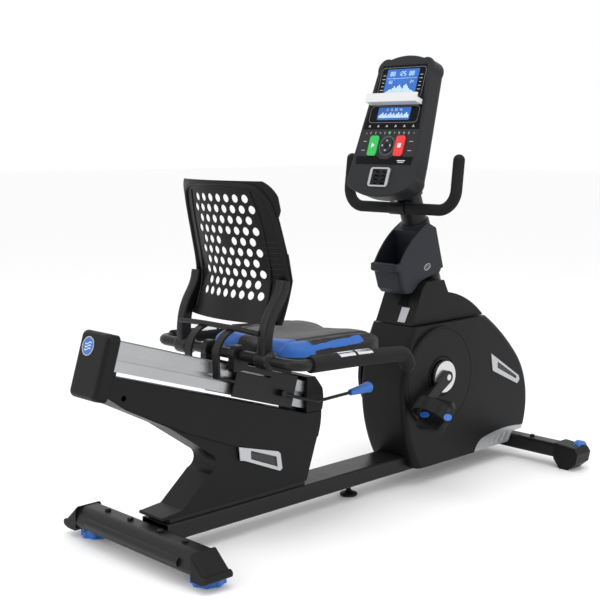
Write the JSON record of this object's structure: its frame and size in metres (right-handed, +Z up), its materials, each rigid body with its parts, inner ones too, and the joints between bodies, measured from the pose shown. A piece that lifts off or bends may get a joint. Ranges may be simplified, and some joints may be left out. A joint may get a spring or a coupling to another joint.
{
  "type": "recumbent exercise bike",
  "caption": "Recumbent exercise bike: step-through frame, sliding seat with perforated back on a sloping rail, enclosed crank and flywheel, console on a leaning mast.",
  "frame": {"origin": "on the floor under the middle of the whole machine", "axes": "+X forward from the seat to the console, +Y to the rider's left, +Z up"},
  "size_m": [1.6518, 0.672, 1.2578],
  "materials": {
    "black_metal": "satin black powder coat",
    "black_plastic": "satin moulded black",
    "dark_grey_plastic": "satin moulded blue-grey",
    "gloss_black": "gloss",
    "rail_aluminium": "satin anodised",
    "silver_plastic": "silver lacquer",
    "bright_steel": "zinc plated",
    "cast_iron": "turned",
    "foam_rubber": "closed-cell foam",
    "seat_vinyl": "fine grain",
    "blue_plastic": "semi-gloss",
    "dark_mesh": "perforated",
    "belt_rubber": "matt",
    "white_nylon": "plain",
    "sensor_steel": "polished",
    "display": "backlit",
    "pale_plastic": "satin",
    "green_key": "rubbery",
    "red_key": "rubbery",
    "grey_key": "rubbery"
  },
  "bodies": {
    "frame": {"main_beam": "black_metal", "rear_stabiliser": "black_metal", "front_stabiliser": "black_metal", "stabiliser_caps": "black_plastic", "centre_foot": "black_plastic", "frame_bolts": "bright_steel", "rear_column": "black_metal", "seat_rail": "rail_aluminium", "rail_end_cap": "black_plastic", "rear_shroud_right": "black_plastic", "rear_shroud_left": "black_plastic", "rail_front_cover": "black_plastic", "silver_trim": "silver_plastic", "vent_meshes": "dark_mesh", "drive_frame": "black_metal", "drive_belt": "belt_rubber", "brake_motor": "black_plastic", "front_shroud_right": "black_plastic", "front_shroud_left": "black_plastic", "shroud_top_cover": "black_plastic", "power_inlet": "black_plastic", "mast": "black_metal", "mast_bucket": "dark_grey_plastic", "handlebar": "black_metal", "handlebar_grips": "foam_rubber", "handlebar_clamp": "black_plastic", "console_back": "dark_grey_plastic", "console_front": "dark_grey_plastic", "console_panel": "gloss_black", "displays": "display", "media_tray": "pale_plastic", "fan_bezel": "silver_plastic"},
    "seat": {"carriage": "black_metal", "seat_handlebar": "black_metal", "seat_grips": "foam_rubber", "pulse_sensors": "sensor_steel", "seat_pan": "black_metal", "seat_cushion": "seat_vinyl", "backrest_shell": "black_plastic", "backrest_frame": "black_plastic"},
    "rollers_rear": {"roller_rear": "white_nylon"},
    "rollers_front": {"roller_front": "white_nylon"},
    "lever": {"seat_lever": "black_metal", "lever_grip": "blue_plastic"},
    "lock": {"lock_pad": "belt_rubber"},
    "crank": {"crank_axle": "bright_steel", "drive_pulley": "black_plastic", "crank_arms": "black_metal"},
    "right_pedal": {"pedal_right": "black_plastic"},
    "left_pedal": {"pedal_left": "black_plastic"},
    "flywheel_body": {"flywheel": "cast_iron"},
    "brake_arm": {"magnet_bracket": "bright_steel"},
    "right_wheel": {"wheel_right": "blue_plastic"},
    "left_wheel": {"wheel_left": "blue_plastic"},
    "right_foot": {"foot_right": "blue_plastic"},
    "left_foot": {"foot_left": "blue_plastic"},
    "fan": {"fan_rotor": "black_plastic"},
    "start_button": {"start_key": "green_key"},
    "stop_button": {"stop_key": "red_key"},
    "nav_button": {"nav_pad": "grey_key"}
  },
  "joints": [
    {"name": "seat_slide", "type": "slide", "parent": "frame", "child": "seat", "axis": [0.9563, 0, -0.2924], "range_m": [-0.24, 0.012]},
    {"name": "roller_rear_spin", "type": "hinge", "parent": "seat", "child": "rollers_rear", "pos_m": [-0.37836, 0, 0.40518], "axis": [0, 1, 0], "continuous": true},
    {"name": "roller_front_spin", "type": "hinge", "parent": "seat", "child": "rollers_front", "pos_m": [-0.22535, 0, 0.3584], "axis": [0, 1, 0], "continuous": true},
    {"name": "lever_lift", "type": "hinge", "parent": "seat", "child": "lever", "pos_m": [-0.25, -0.06, 0.36], "axis": [0, -1, 0], "range_deg": [0, 15], "stiffness_Nm_per_rad": 6, "springref_deg": -11.46},
    {"name": "lock_release", "type": "slide", "parent": "seat", "child": "lock", "axis": [0, -1, 0], "range_m": [0, 0.0026]},
    {"name": "crank_spin", "type": "hinge", "parent": "frame", "child": "crank", "pos_m": [0.366, 0, 0.322], "axis": [0, 1, 0], "continuous": true},
    {"name": "right_pedal_spin", "type": "hinge", "parent": "crank", "child": "right_pedal", "pos_m": [0.23455, -0.184, 0.23986], "axis": [0, 1, 0], "continuous": true},
    {"name": "left_pedal_spin", "type": "hinge", "parent": "crank", "child": "left_pedal", "pos_m": [0.49745, 0.184, 0.40414], "axis": [0, 1, 0], "continuous": true},
    {"name": "flywheel_spin", "type": "hinge", "parent": "frame", "child": "flywheel_body", "pos_m": [0.606, 0, 0.232], "axis": [0, 1, 0], "continuous": true},
    {"name": "brake_arm_swing", "type": "hinge", "parent": "frame", "child": "brake_arm", "pos_m": [0.57286, 0, 0.36493], "axis": [0, -1, 0], "range_deg": [0, 10]},
    {"name": "right_wheel_spin", "type": "hinge", "parent": "frame", "child": "right_wheel", "pos_m": [0.798, -0.305, 0.058], "axis": [0, 1, 0], "continuous": true},
    {"name": "left_wheel_spin", "type": "hinge", "parent": "frame", "child": "left_wheel", "pos_m": [0.798, 0.305, 0.058], "axis": [0, 1, 0], "continuous": true},
    {"name": "right_foot_turn", "type": "hinge", "parent": "frame", "child": "right_foot", "pos_m": [-0.64, -0.226, 0.01], "axis": [0, 0, 1], "continuous": true},
    {"name": "left_foot_turn", "type": "hinge", "parent": "frame", "child": "left_foot", "pos_m": [-0.64, 0.226, 0.01], "axis": [0, 0, 1], "continuous": true},
    {"name": "fan_spin", "type": "hinge", "parent": "frame", "child": "fan", "pos_m": [0.21063, 0, 0.90413], "axis": [-0.9483, 0, 0.3173], "continuous": true},
    {"name": "start_press", "type": "slide", "parent": "frame", "child": "start_button", "axis": [0.9483, 0, -0.3173], "range_m": [0, 0.002], "stiffness_N_per_m": 800},
    {"name": "stop_press", "type": "slide", "parent": "frame", "child": "stop_button", "axis": [0.9483, 0, -0.3173], "range_m": [0, 0.002], "stiffness_N_per_m": 800},
    {"name": "nav_press", "type": "slide", "parent": "frame", "child": "nav_button", "axis": [0.9483, 0, -0.3173], "range_m": [0, 0.0015], "stiffness_N_per_m": 800}
  ],
  "couplings": [
    {"joint": "lock_release", "follows": "lever_lift", "m_per_rad": 0.00955},
    {"joint": "crank_spin", "follows": "flywheel_spin", "ratio": 0.18518}
  ]
}
